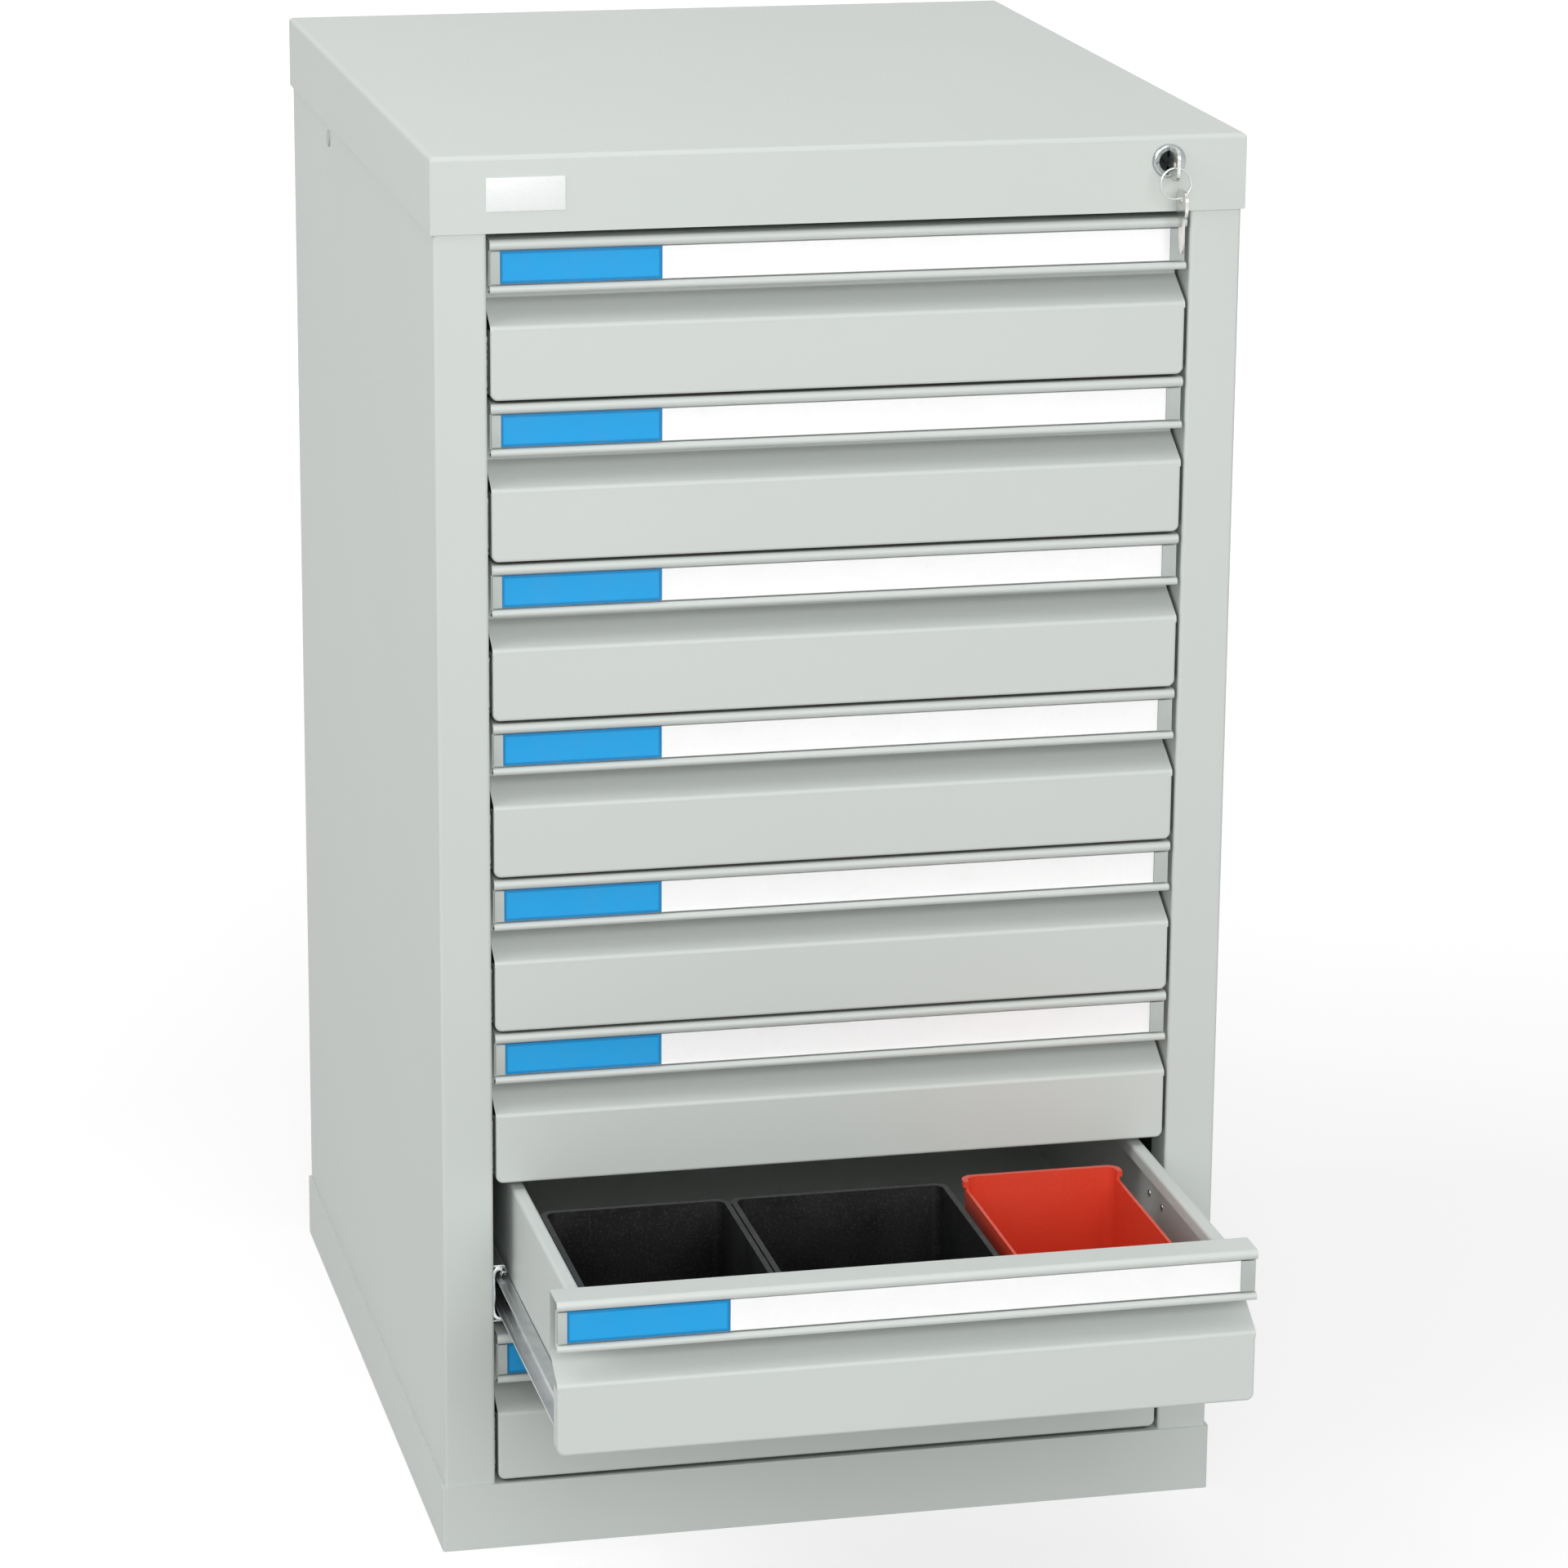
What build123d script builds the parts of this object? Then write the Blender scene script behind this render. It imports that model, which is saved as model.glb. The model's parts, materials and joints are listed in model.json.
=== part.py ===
from build123d import *
import math
import os

# Steel drawer cabinet: eight drawers on telescopic slides between two folded posts,
# one lock that drives a bar behind all the drawers, and the seventh drawer pulled out.
# Millimetres, +Z up, fronts facing -Y, origin on the floor under the middle of the footprint.

# Carcass
cabinet_width = 507.0
cabinet_depth = 595.0
cap_height = 47.0
plinth_height = 43.5
cap_sheet = 1.5
plinth_sheet = 1.5
side_sheet = 1.2
back_sheet = 1.0
floor_sheet = 1.2
cap_edge_radius = 3.0
body_bend = 1.0
plinth_corner_radius = 1.5
plinth_top_flange = 45.0
plinth_bottom_flange = 25.0
post_face_width = 32.4
post_return_depth = 30.0
rear_flange_width = 20.0
header_flange_depth = 18.0

# Drawer stack
drawer_count = 8
front_height = 98.0
front_gap = 2.0
header_gap = 4.5
ledge_gap = 2.0
front_side_gap = 2.05
closed_above_count = 6
opening = 205.0

# Folded drawer front
front_sheet = 1.0
front_bend = 0.8
panel_height = 45.2
panel_bend = 2.0
panel_return = 12.0
panel_corner_radius = 4.5
side_return_relief = 3.5
pocket_depth = 24.0
pocket_back_height = 59.0
nose_height = 6.3
nose_bend = 2.1
label_window_height = 21.7
label_window_depth = 4.5
lower_lip_height = 4.5
lower_lip_bend = 1.2
hem_depth = 7.0

# Label strips
label_sheet = 1.0
label_play = 0.1
label_end_gap_left = 6.5
label_end_gap_right = 9.6
colour_field_width = 99.3

# Trays
tray_sheet = 1.0
tray_bend = 1.5
space_behind_trays = 44.2
tray_under_clearance = 3.0
tray_top_clearance = 3.0
hem_width = 9.0
hem_drop = 9.0
catch_width = 14.0
catch_reach = 16.0
catch_sheet = 1.5
catch_bend = 0.8
catch_height = 64.0
catch_drop = 16.0

# Slides: a cabinet rail and a drawer rail on each side, with a ball cage between them
drawer_travel = 400.0
slide_short_of_tray = 42.0
slide_sheet = 1.2
slide_bend = 0.6
slide_height = 38.0
slide_space = 12.7
slide_lip = 3.6
slide_front_gap = 14.0
outer_channel_depth = 9.7
web_clearance = 0.5
race_clearance = 0.6
cage_end_gap = 2.0
slide_centre_above_bottom = 21.5

# Rear uprights and side hole
upright_width = 40.0
upright_sheet = 1.5
upright_from_rear = 170.5
side_hole_radius = 4.0
side_hole_below_top = 57.0
plug_head_radius = 5.5
plug_head_height = 1.0
plug_fit = 0.15
plug_stem_length = 4.0

# Lock and key
lock_from_side = 49.8
lock_below_top = 15.7
lock_head_radius = 10.4
lock_head_height = 2.6
lock_barrel_radius = 9.5
lock_barrel_length = 26.0
lock_hole_play = 0.2
lock_plug_radius = 6.5
lock_plug_play = 0.2
lock_plug_recess = 0.6
nut_across_flats = 22.0
nut_height = 5.0
key_thickness = 2.0
key_blade_height = 6.6
key_blade_length = 19.0
key_slot_play = 0.15
key_neck_length = 3.0
key_bow_height = 20.0
key_bow_length = 17.0
key_bow_corner = 6.0
key_hole_radius = 2.6

# Locking rod and bar behind the drawers
rod_radius = 4.0
crank_radius = 10.0
crank_width = 8.0
crank_thickness = 4.0
crank_pin_radius = 2.5
crank_slot_play = 0.7
crank_start_angle = 45.0
rod_end_gap = 13.0
bar_width = 24.0
bar_thickness = 2.5
bar_end_above_drawer = 14.5
bar_gap_behind_catch = 4.0
bracket_thickness = 2.5
bracket_margin = 1.5
stud_radius = 3.0
stud_height = 13.5
stud_below_catch = 2.0
stud_play = 2.3
guide_wall = 3.0
guide_front_wall = 1.5
guide_height = 20.0
guide_above_drawer_bottom = 74.5
hanger_width = 22.0
hanger_thickness = 3.0
hanger_play = 0.3

# Loose bins in the open drawer
bin_wall = 2.0
bin_floor = 2.0
bin_length = 145.0
bin_corner_radius = 8.0
bin_draft = 1.5
bin_rim_width = 1.5
bin_rim_height = 4.0
bin_front_gap = 1.0
black_bin_height = 88.0
red_bin_height = 92.0
first_bin_side_gap = 1.1
first_bin_width = 120.0
second_bin_width = 140.0
bin_gap = 1.0
red_bin_gap = 9.0
red_bin_side_gap = 20.1
red_step_depth = 12.0
red_step_drop = 6.0

# Clearances between separate pieces
seat_gap = 0.3

# Sizes that follow from the ones above
open_drawer = closed_above_count + 1
pitch = front_height + front_gap
stack_height = drawer_count * pitch - front_gap
cabinet_height = plinth_height + ledge_gap + stack_height + header_gap + cap_height
cap_proud = cap_sheet + seat_gap
body_half_width = cabinet_width / 2 - cap_proud
front_plane = cap_proud - cabinet_depth / 2
rear_plane = -front_plane
cap_underside = cabinet_height - cap_sheet
cap_inner_radius = cap_edge_radius - cap_sheet
cap_lower_edge = cabinet_height - cap_height
opening_half_width = body_half_width - post_face_width
front_half_width = opening_half_width - front_side_gap
tray_half_width = opening_half_width - slide_space
hem_inner_half_width = tray_half_width - hem_width
tray_front = pocket_depth + front_sheet
tray_top = front_height - tray_top_clearance
tray_floor_top = tray_under_clearance + tray_sheet
back_face = rear_plane - side_sheet - back_sheet
tray_rear = back_face - front_plane - space_behind_trays
tray_length = tray_rear - tray_front
slide_length = tray_rear - slide_short_of_tray - slide_front_gap
outer_half_height = slide_height / 2
cage_half_height = outer_half_height - slide_lip - race_clearance
inner_half_height = cage_half_height - slide_lip - race_clearance
cage_root = slide_sheet + web_clearance
cage_edge = slide_space - slide_sheet - web_clearance - seat_gap
cage_start = slide_front_gap + drawer_travel / 2 + cage_end_gap
cage_length = slide_front_gap + slide_length - cage_start - cage_end_gap
inner_flange_start = cage_root + slide_sheet + 2 * web_clearance
upright_centre = cabinet_depth / 2 - upright_from_rear
side_hole_height = cabinet_height - side_hole_below_top
lock_from_middle = cabinet_width / 2 - lock_from_side
lock_height = cabinet_height - lock_below_top
lock_face = -cabinet_depth / 2
lock_rear = lock_face + cap_sheet + lock_barrel_length
bar_front = front_plane + tray_rear + catch_reach + bar_gap_behind_catch
bar_rise = 2 * crank_radius * math.sin(math.radians(crank_start_angle))
crank_pin_inset = crank_radius * math.cos(math.radians(crank_start_angle))
bar_centre = lock_from_middle - (crank_radius + crank_pin_inset) / 2
crank_front = bar_front - rod_end_gap + crank_thickness
first_bin_left = first_bin_side_gap - hem_inner_half_width
second_bin_left = first_bin_left + first_bin_width + bin_gap
red_bin_left = second_bin_left + second_bin_width + red_bin_gap
red_bin_width = hem_inner_half_width - red_bin_side_gap - red_bin_left


def block(x_low, x_high, y_low, y_high, z_low, z_high):
    """A box from its six sides."""
    centre = Pos((x_low + x_high) / 2, (y_low + y_high) / 2, (z_low + z_high) / 2)
    return centre * Box(x_high - x_low, y_high - y_low, z_high - z_low)


def post_along_y(x, z, radius, y_low, y_high):
    """A round bar that runs front to back."""
    turned = Pos(x, (y_low + y_high) / 2, z) * Rot(X=90)
    return turned * Cylinder(radius, y_high - y_low)


def post_along_x(y, z, radius, x_low, x_high):
    """A round bar that runs from side to side."""
    turned = Pos((x_low + x_high) / 2, y, z) * Rot(Y=90)
    return turned * Cylinder(radius, x_high - x_low)


def mirrored(shape):
    """The same piece on the other side of the cabinet."""
    return mirror(shape, about=Plane.YZ)


def sheet_face(path, thickness, bend, wider_bends=None):
    """Section of a folded sheet whose skin follows the path and whose metal lies to its left.

    Every fold has the same inner radius, except those named by their place in wider_bends.
    """
    count = len(path)
    directions = []
    for start, end in zip(path[:-1], path[1:]):
        length = math.dist(start, end)
        directions.append(((end[0] - start[0]) / length, (end[1] - start[1]) / length))
    other_skin = []
    path_radii = []
    skin_radii = []
    for index, point in enumerate(path):
        before = directions[max(index - 1, 0)]
        after = directions[min(index, count - 2)]
        scale = thickness / (1 + before[0] * after[0] + before[1] * after[1])
        shift = (-(before[1] + after[1]) * scale, (before[0] + after[0]) * scale)
        other_skin.append((point[0] + shift[0], point[1] + shift[1]))
        turn = before[0] * after[1] - before[1] * after[0]
        inner = (wider_bends or {}).get(index, bend)
        if index in (0, count - 1):
            path_radii.append(0)
            skin_radii.append(0)
        elif turn > 0:
            path_radii.append(inner + thickness)
            skin_radii.append(inner)
        else:
            path_radii.append(inner)
            skin_radii.append(inner + thickness)
    corners = path + other_skin[::-1]
    radii = path_radii + skin_radii[::-1]
    return make_face(FilletPolyline(*corners, radius=radii, close=True))


def drawer_bottom(number):
    """Height of the lower edge of a drawer front, counted from the top drawer."""
    return plinth_height + ledge_gap + (drawer_count - number) * pitch


def drawer_shift(number):
    """How far forward a drawer stands at rest."""
    if number == open_drawer:
        return opening
    return 0.0


def in_drawer(number, shape):
    """Moves a piece from the first frame of a drawer to its place in the cabinet."""
    return Pos(0, front_plane - drawer_shift(number), drawer_bottom(number)) * shape


# Carcass
def make_top_cap():
    half_width = cabinet_width / 2
    half_depth = cabinet_depth / 2
    outside = block(-half_width, half_width, -half_depth, half_depth, cap_lower_edge, cabinet_height)
    outside = fillet(outside.edges().group_by(Axis.Z)[-1], cap_edge_radius)
    inner_x = half_width - cap_sheet
    inner_y = half_depth - cap_sheet
    inside = block(-inner_x, inner_x, -inner_y, inner_y, cap_lower_edge, cap_underside)
    inside = fillet(inside.edges().group_by(Axis.Z)[-1], cap_inner_radius)
    lip_half = opening_half_width - seat_gap
    lip_rear = header_flange_depth - inner_y
    lip = block(-lip_half, lip_half, -inner_y, lip_rear, cap_lower_edge, cap_lower_edge + cap_sheet)
    hole_radius = lock_barrel_radius + lock_hole_play
    hole = post_along_y(lock_from_middle, lock_height, hole_radius, -half_depth, -inner_y)
    return outside - inside + lip - hole


def make_side_panel():
    path = [
        (opening_half_width, front_plane + post_return_depth),
        (opening_half_width, front_plane),
        (body_half_width, front_plane),
        (body_half_width, rear_plane),
        (body_half_width - rear_flange_width, rear_plane),
    ]
    section = Pos(0, 0, plinth_height) * sheet_face(path, side_sheet, body_bend)
    panel = extrude(section, cap_underside - cap_inner_radius - plinth_height)
    inner_x = body_half_width - side_sheet
    return panel - post_along_x(upright_centre, side_hole_height, side_hole_radius, inner_x, body_half_width)


def make_back_panel():
    half = body_half_width - side_sheet - body_bend - seat_gap
    top = cap_underside - seat_gap
    return block(-half, half, back_face, back_face + back_sheet, plinth_height, top)


def make_plinth():
    half_width = cabinet_width / 2
    half_depth = cabinet_depth / 2
    outside = block(-half_width, half_width, -half_depth, half_depth, 0, plinth_height)
    outside = fillet(outside.edges().filter_by(Axis.Z), plinth_corner_radius)
    inner_x = half_width - plinth_sheet
    inner_y = half_depth - plinth_sheet
    ceiling = plinth_height - plinth_sheet
    hollow = block(-inner_x, inner_x, -inner_y, inner_y, plinth_sheet, ceiling)
    top_x = half_width - plinth_top_flange
    top_y = half_depth - plinth_top_flange
    top_opening = block(-top_x, top_x, -top_y, top_y, ceiling, plinth_height)
    low_x = half_width - plinth_bottom_flange
    low_y = half_depth - plinth_bottom_flange
    low_opening = block(-low_x, low_x, -low_y, low_y, 0, plinth_sheet)
    return outside - hollow - top_opening - low_opening


def make_floor_plate():
    half = opening_half_width - seat_gap
    front = front_plane + post_return_depth
    top = plinth_height + floor_sheet
    return block(-half, half, front, back_face - seat_gap, plinth_height, top)


def make_upright():
    inner_x = body_half_width - side_sheet
    near = upright_centre - upright_width / 2
    far = upright_centre + upright_width / 2
    path = [(inner_x, far), (opening_half_width, far), (opening_half_width, near), (inner_x, near)]
    section = Pos(0, 0, plinth_height) * sheet_face(path, upright_sheet, body_bend)
    return extrude(section, cap_underside - plinth_height)


def make_hole_plug():
    skin = body_half_width
    stem_radius = side_hole_radius - plug_fit
    head = post_along_x(upright_centre, side_hole_height, plug_head_radius, skin, skin + plug_head_height)
    head = fillet(head.edges().group_by(Axis.X)[-1], plug_head_height / 2)
    stem = post_along_x(upright_centre, side_hole_height, stem_radius, skin - plug_stem_length, skin)
    return head + stem


# Slides: sections are drawn from the upright inwards, on the left side
def channel_path(root, edge, half_height, lip):
    """A channel with its web at the root, both flanges running to the edge and lips turned in."""
    upper = half_height
    return [
        (edge, upper - lip),
        (edge, upper),
        (root, upper),
        (root, -upper),
        (edge, -upper),
        (edge, -upper + lip),
    ]


def slide_bar(path, start, length):
    """One slide member, in the frame of a closed drawer."""
    section = Pos(-opening_half_width, slide_centre_above_bottom) * sheet_face(path, slide_sheet, slide_bend)
    bar = extrude(Plane.XZ * section, -length)
    return Pos(0, start, 0) * bar


def make_cabinet_rail():
    path = channel_path(0, outer_channel_depth, outer_half_height, slide_lip)
    return slide_bar(path, slide_front_gap, slide_length)


def make_ball_cage():
    """The strip that holds the balls, inside the cabinet rail; it moves half as far as the drawer."""
    path = channel_path(cage_root, cage_edge, cage_half_height, slide_lip)
    return slide_bar(path, cage_start, cage_length)


def make_drawer_rail():
    path = [
        (inner_flange_start, -inner_half_height),
        (slide_space, -inner_half_height),
        (slide_space, inner_half_height),
        (inner_flange_start, inner_half_height),
    ]
    return slide_bar(path, slide_front_gap, slide_length)


# Drawers, in a frame with its origin at the middle of the lower edge of the front
def make_front():
    """One folded sheet: window lip, label window, nose, pocket back and finger slope over a flat panel."""
    sheet = front_sheet
    window_top = front_height - nose_height
    window_bottom = window_top - label_window_height
    lip_bottom = window_bottom - lower_lip_height
    window_back = label_window_depth + sheet
    panel_top = panel_height - side_return_relief
    path = [
        (hem_depth, lip_bottom + sheet),
        (sheet, lip_bottom + sheet),
        (sheet, window_bottom - sheet),
        (window_back, window_bottom - sheet),
        (window_back, window_top + sheet),
        (sheet, window_top + sheet),
        (sheet, front_height - sheet),
        (pocket_depth, front_height - sheet),
        (pocket_depth, pocket_back_height),
        (0, panel_height),
        (0, panel_top),
    ]
    bends = {1: lower_lip_bend, 2: lower_lip_bend, 5: nose_bend, 6: nose_bend, 9: panel_bend}
    section = Plane.YZ * sheet_face(path, sheet, front_bend, bends)
    return extrude(section, front_half_width, both=True) + make_panel(panel_top)


def make_panel(top):
    """The flat panel with its lower and side edges folded back."""
    half = front_half_width
    outside = panel_form(half, 0, top, panel_corner_radius, front_bend + front_sheet)
    inner_radius = panel_corner_radius - front_sheet
    return outside - panel_form(half - front_sheet, front_sheet, top, inner_radius, front_bend)


def panel_form(half_width, inset, top, corner_radius, edge_radius):
    """A shallow block with round lower corners and a round front edge, square along its top."""
    form = block(-half_width, half_width, inset, panel_return, inset, top)
    form = fillet(form.edges().filter_by(Axis.Y).group_by(Axis.Z)[0], corner_radius)
    face = form.faces().sort_by(Axis.Y)[0]
    round_edges = face.edges().sort_by(Axis.Z)[:-1]
    return fillet(round_edges, edge_radius)


def make_tray():
    """A channel with rolled top edges, closed by a front and a rear wall, with the catch behind."""
    path = [
        (-hem_inner_half_width, tray_top - hem_drop),
        (-hem_inner_half_width, tray_top),
        (-tray_half_width, tray_top),
        (-tray_half_width, tray_under_clearance),
        (tray_half_width, tray_under_clearance),
        (tray_half_width, tray_top),
        (hem_inner_half_width, tray_top),
        (hem_inner_half_width, tray_top - hem_drop),
    ]
    section = Plane.XZ * sheet_face(path, tray_sheet, tray_bend)
    channel = Pos(0, tray_front, 0) * extrude(section, -tray_length)
    wall_half = tray_half_width - tray_sheet / 2
    wall_low = tray_under_clearance + tray_sheet / 2
    wall_top = tray_top - tray_bend - tray_sheet
    front_wall = block(-wall_half, wall_half, tray_front, tray_front + tray_sheet, wall_low, wall_top)
    rear_path = [
        (tray_rear, wall_low),
        (tray_rear, tray_top),
        (tray_rear - hem_width, tray_top),
        (tray_rear - hem_width, tray_top - hem_drop),
    ]
    rear_half = hem_inner_half_width + tray_sheet
    rear_wall = extrude(Plane.YZ * sheet_face(rear_path, tray_sheet, tray_bend), rear_half, both=True)
    rear_sheet = block(-wall_half, wall_half, tray_rear - tray_sheet, tray_rear, wall_low, wall_top)
    return Compound([channel + front_wall + rear_wall + rear_sheet, make_catch()])


def make_catch():
    """The bent hook on the rear wall that a stud of the locking bar rises into."""
    top = catch_height + catch_sheet
    end = tray_rear + catch_reach
    path = [(end, catch_height - catch_drop), (end, top), (tray_rear, top)]
    section = Plane.YZ * sheet_face(path, catch_sheet, catch_bend)
    return Pos(bar_centre, 0, 0) * extrude(section, catch_width / 2, both=True)


def make_label():
    """The printed strip in the window of the front: a coloured field and a white field."""
    window_top = front_height - nose_height
    low = window_top - label_window_height + front_bend + label_play
    high = window_top - front_bend - label_play
    start = label_end_gap_left - front_half_width
    split = start + colour_field_width
    end = front_half_width - label_end_gap_right
    near = label_window_depth - label_sheet
    coloured = block(start, split, near, label_window_depth, low, high)
    white = block(split + seat_gap, end, near, label_window_depth, low, high)
    return Compound([coloured, white])


# Lock
def make_lock_housing():
    head_front = lock_face - lock_head_height
    head = post_along_y(lock_from_middle, lock_height, lock_head_radius, head_front, lock_face)
    head = fillet(head.edges().group_by(Axis.Y)[0], lock_head_height / 2)
    barrel = post_along_y(lock_from_middle, lock_height, lock_barrel_radius, lock_face, lock_rear)
    bore_radius = lock_plug_radius + lock_plug_play
    bore = post_along_y(lock_from_middle, lock_height, bore_radius, head_front, lock_rear)
    housing = head + barrel - bore
    near = lock_face + cap_sheet
    hexagon = RegularPolygon(nut_across_flats / 2, 6, major_radius=False)
    ring = hexagon - Circle(lock_barrel_radius + lock_hole_play / 2)
    nut = Pos(lock_from_middle, near, lock_height) * extrude(Plane.XZ * ring, -nut_height)
    return Compound([housing, nut])


def make_lock_plug():
    start = lock_face - lock_head_height + lock_plug_recess
    plug = post_along_y(lock_from_middle, lock_height, lock_plug_radius, start, lock_rear)
    half_slot = key_thickness / 2 + key_slot_play
    half_height = key_blade_height / 2 + key_slot_play
    slot_end = start + key_blade_length + key_slot_play
    left = lock_from_middle - half_slot
    right = lock_from_middle + half_slot
    slot = block(left, right, start, slot_end, lock_height - half_height, lock_height + half_height)
    return plug - slot


def make_key():
    """A flat key seen on edge: blade in the plug, neck, and a bow with one hole."""
    plug_face = lock_face - lock_head_height + lock_plug_recess
    bow_rear = plug_face - key_neck_length
    half_height = key_blade_height / 2
    bow = RectangleRounded(key_bow_length, key_bow_height, key_bow_corner)
    bow = Pos(bow_rear - key_bow_length / 2, 0) * bow
    shank_length = key_blade_length + key_neck_length + key_bow_corner
    shank_centre = plug_face + key_blade_length - shank_length / 2
    shank = Pos(shank_centre, 0) * Rectangle(shank_length, 2 * half_height)
    hole = Pos(bow_rear - key_bow_length + key_bow_corner, 0) * Circle(key_hole_radius)
    outline = bow + shank - hole
    flat = extrude(Plane.YZ * outline, key_thickness / 2, both=True)
    return Pos(lock_from_middle, 0, lock_height) * flat


def make_locking_rod():
    """Rod from the plug to the rear, with a crank whose pin stands in the bar's slot."""
    rod = post_along_y(lock_from_middle, lock_height, rod_radius, lock_rear, crank_front)
    pin_x = lock_from_middle - crank_pin_inset
    pin_z = lock_height - bar_rise / 2
    pin_end = bar_front + bar_thickness + seat_gap
    pin = post_along_y(pin_x, pin_z, crank_pin_radius, crank_front, pin_end)
    slot = SlotCenterToCenter(crank_radius, crank_width)
    arm = extrude(Plane.XZ * (Rot(Z=crank_start_angle) * slot), crank_thickness)
    arm_x = (pin_x + lock_from_middle) / 2
    arm_z = (pin_z + lock_height) / 2
    return rod + pin + Pos(arm_x, crank_front, arm_z) * arm


def make_lock_bar():
    """Flat bar behind the drawers, with a bracket and an upright stud for each catch."""
    left = bar_centre - bar_width / 2
    right = bar_centre + bar_width / 2
    pin_z = lock_height - bar_rise / 2
    slot_half_height = crank_pin_radius + crank_slot_play
    bar_top = pin_z + slot_half_height + bar_thickness
    bar_bottom = drawer_bottom(drawer_count) + bar_end_above_drawer
    rear = bar_front + bar_thickness
    slot_left = lock_from_middle - crank_radius - slot_half_height
    slot_right = lock_from_middle - crank_pin_inset + slot_half_height
    slot = block(slot_left, slot_right, bar_front, rear, pin_z - slot_half_height, pin_z + slot_half_height)
    pieces = [block(left, right, bar_front, rear, bar_bottom, bar_top) - slot]
    for number in range(1, drawer_count + 1):
        pieces += make_lock_stud(drawer_bottom(number) + catch_height - catch_drop - stud_below_catch)
    return Compound(pieces)


def make_lock_stud(top):
    """One bracket on the bar and the stud on its end, which stands in front of a catch when it rises."""
    half = catch_width / 2
    low = top - stud_height
    stud_y = bar_front - bar_gap_behind_catch - catch_sheet - stud_play - stud_radius
    front = stud_y - stud_radius - bracket_margin
    bracket = block(bar_centre - half, bar_centre + half, front, bar_front, low - bracket_thickness, low)
    bracket = fillet(bracket.edges().filter_by(Axis.Z).group_by(Axis.Y)[0], stud_radius)
    stud = Pos(bar_centre, stud_y, top - stud_height / 2) * Cylinder(stud_radius, stud_height)
    return [bracket, stud]


def make_bar_guide(number):
    """Moulded block on the back panel that the bar slides through, above one drawer's stud."""
    half = bar_width / 2 + seat_gap
    low = drawer_bottom(number) + guide_above_drawer_bottom
    high = low + guide_height
    slot_front = bar_front - seat_gap
    slot_rear = bar_front + bar_thickness + seat_gap
    outer = half + guide_wall
    body = block(bar_centre - outer, bar_centre + outer, slot_front - guide_front_wall, back_face, low, high)
    return body - block(bar_centre - half, bar_centre + half, slot_front, slot_rear, low, high)


def make_rod_hanger():
    """Bracket under the cap that carries the rear end of the rod."""
    rear = crank_front - crank_thickness - seat_gap
    front = rear - hanger_thickness
    half = hanger_width / 2
    low = lock_height - half
    plate = block(lock_from_middle - half, lock_from_middle + half, front, rear, low, cap_underside)
    plate = fillet(plate.edges().filter_by(Axis.Y).group_by(Axis.Z)[0], half / 2)
    return plate - post_along_y(lock_from_middle, lock_height, rod_radius + hanger_play, front, rear)


# Bins
def make_bin(width, height):
    """Open moulded bin, narrower at the foot, with a thickened rim."""
    rim_low = height - bin_rim_height
    top_width = width - 2 * bin_rim_width
    top_length = bin_length - 2 * bin_rim_width
    foot = RectangleRounded(top_width - 2 * bin_draft, top_length - 2 * bin_draft, bin_corner_radius)
    top = RectangleRounded(top_width, top_length, bin_corner_radius)
    wall = loft([foot, Pos(0, 0, height) * top])
    rim = extrude(Pos(0, 0, rim_low) * RectangleRounded(width, bin_length, bin_corner_radius), bin_rim_height)
    inner_foot = offset(foot, -bin_wall)
    inner_top = offset(top, -bin_wall)
    hollow = loft([Pos(0, 0, bin_floor) * inner_foot, Pos(0, 0, height) * inner_top])
    return wall + rim - hollow


def place_bin(shape, left, width):
    """Stands a bin on the floor of the open drawer."""
    x = left + width / 2
    y = tray_front + tray_sheet + bin_front_gap + bin_length / 2
    return in_drawer(open_drawer, Pos(x, y, tray_floor_top) * shape)


def make_black_bins():
    bins = []
    for left, width in ((first_bin_left, first_bin_width), (second_bin_left, second_bin_width)):
        bins.append(place_bin(make_bin(width, black_bin_height), left, width))
    return Compound(bins)


def make_red_bin():
    """A taller bin whose front and side walls step down from the rear one."""
    half = red_bin_width / 2
    step_rear = bin_length / 2 - red_step_depth
    low = red_bin_height - red_step_drop
    step = block(-half, half, -bin_length / 2, step_rear, low, red_bin_height)
    return place_bin(make_bin(red_bin_width, red_bin_height) - step, red_bin_left, red_bin_width)


# Every piece by name
def carcass_pieces():
    side = make_side_panel()
    upright = make_upright()
    plug = make_hole_plug()
    rail = make_cabinet_rail()
    rails = []
    for number in range(1, drawer_count + 1):
        place = Pos(0, front_plane, drawer_bottom(number))
        rails += [place * rail, place * mirrored(rail)]
    return {
        "top_cap": make_top_cap(),
        "side_panel_left": mirrored(side),
        "side_panel_right": side,
        "back_panel": make_back_panel(),
        "plinth_frame": make_plinth(),
        "floor_plate": make_floor_plate(),
        "rear_uprights": Compound([mirrored(upright), upright]),
        "hole_plugs": Compound([mirrored(plug), plug]),
        "cabinet_rails": Compound(rails),
    }


def lock_pieces():
    return {
        "lock_housing": make_lock_housing(),
        "lock_plug": make_lock_plug(),
        "lock_key": make_key(),
        "locking_rod": make_locking_rod(),
        "lock_bar": make_lock_bar(),
        "rod_hanger": make_rod_hanger(),
        "bar_guides": Compound([make_bar_guide(1), make_bar_guide(drawer_count)]),
    }


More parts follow.
